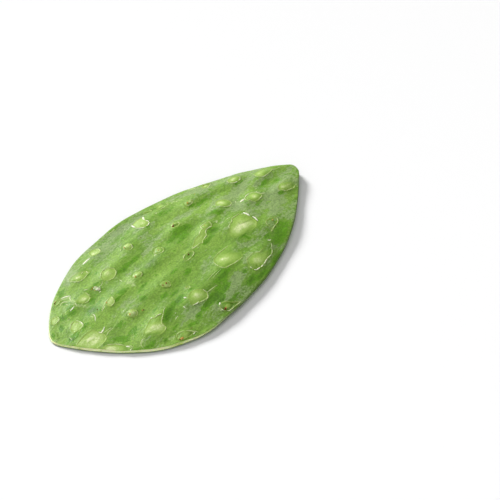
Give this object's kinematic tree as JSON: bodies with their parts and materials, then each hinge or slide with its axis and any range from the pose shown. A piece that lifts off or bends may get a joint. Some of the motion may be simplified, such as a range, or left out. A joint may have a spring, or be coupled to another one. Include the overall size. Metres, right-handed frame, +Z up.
{
  "type": "prickly pear cactus pad",
  "caption": "Flat oval cactus pad with a narrow cut base, spines shaved off, pale scooped scars and a thin trimmed edge.",
  "frame": {"origin": "centre of the bounding box, on the surface the pad lies on", "axes": "+X along the pad from the broad tip to the narrow cut base, +Y across it, +Z up through its thickness"},
  "size_m": [0.2144, 0.1044, 0.0099],
  "materials": {
    "skin": "waxy mid-green skin with a thin grey-green bloom, pale yellow-green flesh where it is cut"
  },
  "bodies": {
    "root": {"pad": "skin"}
  },
  "joints": []
}
